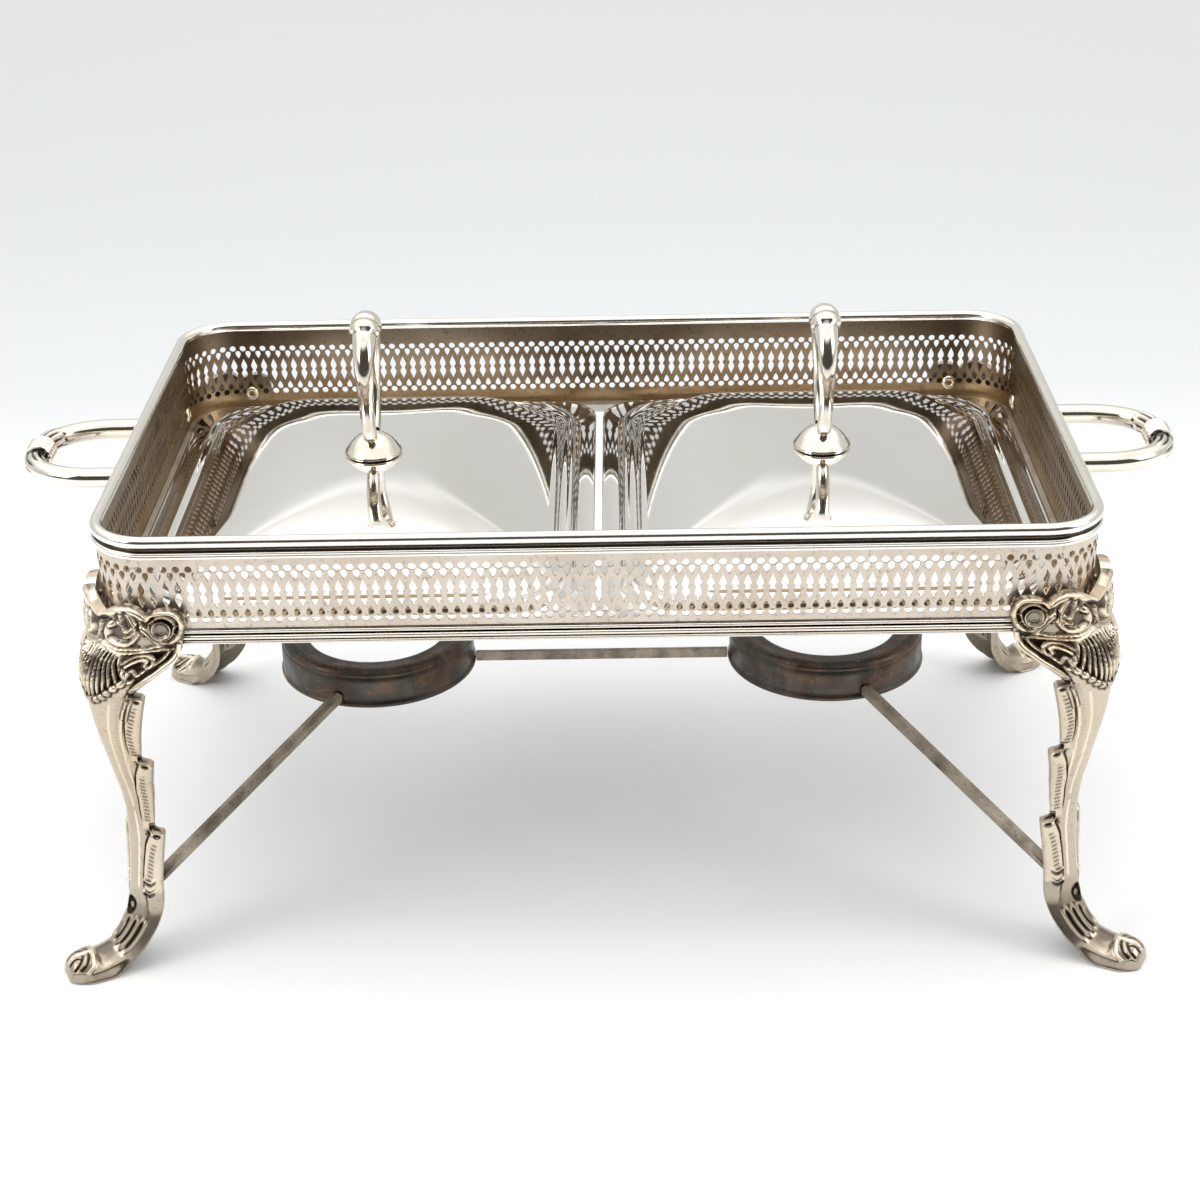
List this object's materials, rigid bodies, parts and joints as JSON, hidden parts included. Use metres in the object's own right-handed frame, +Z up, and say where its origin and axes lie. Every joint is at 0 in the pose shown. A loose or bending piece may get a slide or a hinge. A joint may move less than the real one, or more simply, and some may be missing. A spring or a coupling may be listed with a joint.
{
  "type": "chafing dish stand",
  "caption": "Footed pierced frame with rounded corners, lift-off domed lids, side handles and ring burner holders on struts between cabriole legs.",
  "frame": {"origin": "on the floor under the centre of the frame", "axes": "+Z up, +X from the left handle to the right handle, +Y from the front to the back"},
  "size_m": [0.5988, 0.3394, 0.2924],
  "materials": {
    "silver": "silver-plated brass, satin to bright with dark crevices",
    "aged": "silver-plated brass, worn and warm in tone",
    "mirror": "silver-plated brass, mirror polished",
    "copper": "plated brass, heat-tinted brown, copper and purple",
    "dark": "plated brass, dull dark tarnish"
  },
  "bodies": {
    "stand": {"top_rim": "silver", "bottom_moulding": "silver", "band_back": "silver", "band_front": "silver", "band_left": "silver", "band_right": "silver", "band_corner_back_right": "silver", "band_corner_back_left": "silver", "band_corner_front_left": "silver", "band_corner_front_right": "silver", "leg_back_right": "silver", "leg_back_left": "silver", "leg_front_left": "silver", "leg_front_right": "silver", "rivet_long_back_right": "silver", "rivet_short_back_right": "silver", "rivet_long_back_left": "silver", "rivet_short_back_left": "silver", "rivet_long_front_left": "silver", "rivet_short_front_left": "silver", "rivet_long_front_right": "silver", "rivet_short_front_right": "silver", "handle_left": "silver", "handle_right": "silver", "dish_ledge": "aged", "burner_ring_left": "copper", "burner_ring_right": "copper", "centre_bar": "dark", "strut_back_right": "dark", "strut_back_left": "dark", "strut_front_left": "dark", "strut_front_right": "dark", "strut_screw_back_right": "dark", "strut_screw_back_left": "dark", "strut_screw_front_left": "dark", "strut_screw_front_right": "dark"},
    "lid_left": {"lid_left": "mirror", "lid_button_left": "silver", "lid_loop_left": "silver", "lid_washer_left": "aged", "lid_nut_left": "aged"},
    "lid_right": {"lid_right": "mirror", "lid_button_right": "silver", "lid_loop_right": "silver", "lid_washer_right": "aged", "lid_nut_right": "aged"}
  },
  "joints": [
    {"name": "lid_left_lift", "type": "slide", "parent": "stand", "child": "lid_left", "axis": [0, 0, 1], "range_m": [0, 0.08]},
    {"name": "lid_right_lift", "type": "slide", "parent": "stand", "child": "lid_right", "axis": [0, 0, 1], "range_m": [0, 0.08]}
  ]
}
